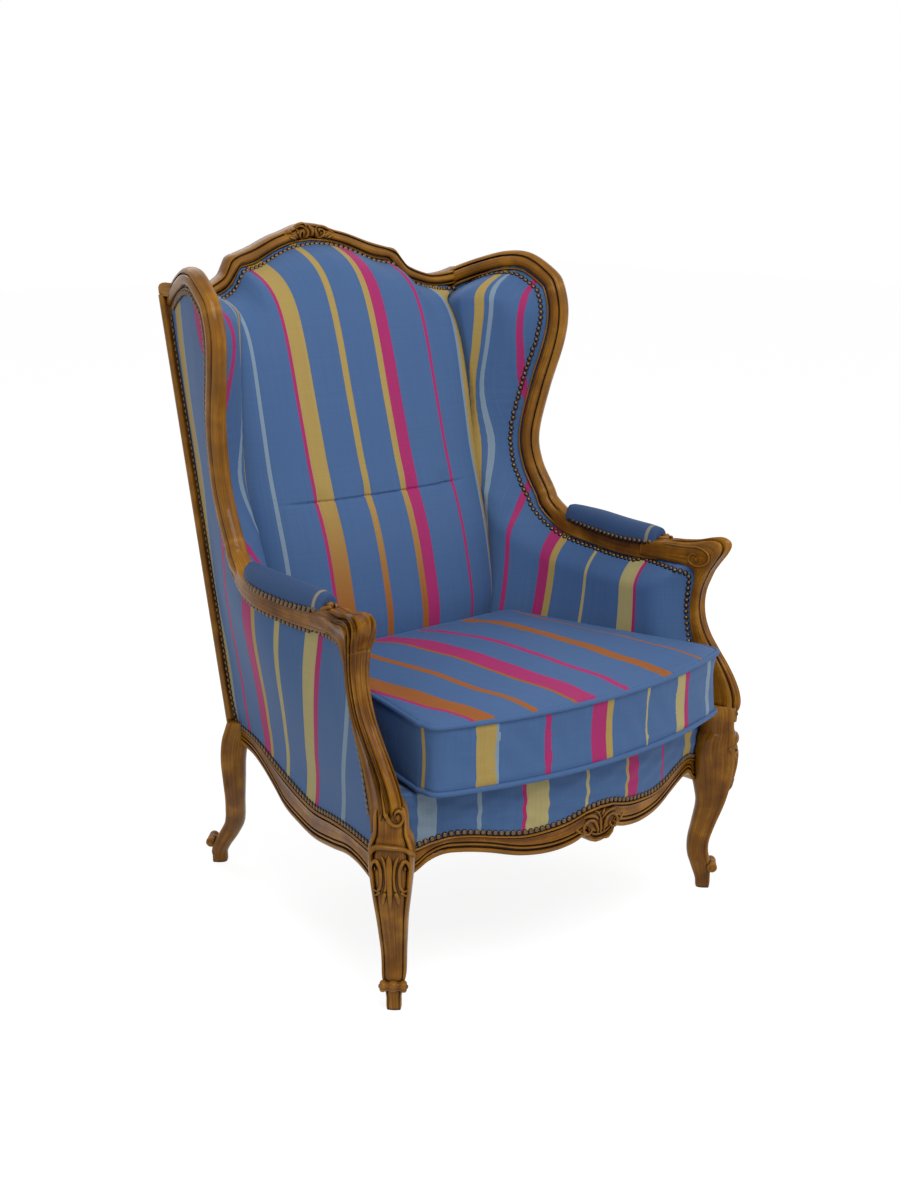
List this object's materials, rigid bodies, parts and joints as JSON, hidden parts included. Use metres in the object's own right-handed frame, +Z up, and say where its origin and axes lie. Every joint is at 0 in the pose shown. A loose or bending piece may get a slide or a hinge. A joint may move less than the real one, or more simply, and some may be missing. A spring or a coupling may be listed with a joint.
{
  "type": "winged bergere armchair",
  "caption": "Upholstered wing armchair with a carved curved show-wood frame, cabriole legs, padded arms, closed sides and a loose seat cushion.",
  "frame": {"origin": "on the floor under the middle of the chair", "axes": "+Z up, the chair faces -Y, +X is the sitter's left"},
  "size_m": [0.768, 0.7561, 1.08],
  "materials": {
    "walnut": "varnished, dark glaze in the grooves",
    "beech": "sawn, unfinished",
    "blue_stripe": "satin weave with coloured stripes",
    "arm_cover": "satin weave",
    "nails": "antique bronze",
    "webbing": "jute",
    "spring_steel": "drawn wire",
    "bottom_cloth": "plain cloth"
  },
  "bodies": {
    "frame": {"front_leg_right": "walnut", "front_leg_left": "walnut", "rear_post_right": "walnut", "rear_post_left": "walnut", "side_rail_right": "walnut", "side_rail_left": "walnut", "wing_top_right": "walnut", "wing_top_left": "walnut", "wing_post_right": "walnut", "wing_post_left": "walnut", "arm_right": "walnut", "arm_left": "walnut", "arm_support_right": "walnut", "arm_support_left": "walnut", "front_rail": "walnut", "rear_rail": "walnut", "crest_rail": "walnut", "back_stay": "beech", "side_stay_right": "beech", "side_stay_left": "beech", "front_corner_block_right": "beech", "front_corner_block_left": "beech", "rear_corner_block_right": "beech", "rear_corner_block_left": "beech", "seat_webbing": "webbing", "back_webbing": "webbing", "seat_spring_1_1": "spring_steel", "seat_spring_1_2": "spring_steel", "seat_spring_1_3": "spring_steel", "seat_spring_2_1": "spring_steel", "seat_spring_2_2": "spring_steel", "seat_spring_2_3": "spring_steel", "seat_spring_3_1": "spring_steel", "seat_spring_3_2": "spring_steel", "seat_spring_3_3": "spring_steel", "bottom_cloth": "bottom_cloth", "side_panel_right": "blue_stripe", "side_panel_left": "blue_stripe", "side_pad_right": "blue_stripe", "side_pad_left": "blue_stripe", "seat_deck": "blue_stripe", "back_pad": "blue_stripe", "back_panel": "blue_stripe", "arm_pad_right": "arm_cover", "arm_pad_left": "arm_cover", "front_nail_strip": "nails"},
    "cushion": {"seat_cushion": "blue_stripe", "cushion_welt_low": "blue_stripe", "cushion_welt_high": "blue_stripe"}
  },
  "joints": [
    {"name": "cushion_lift", "type": "slide", "parent": "frame", "child": "cushion", "axis": [0, 0, 1], "range_m": [0, 0.26]}
  ]
}
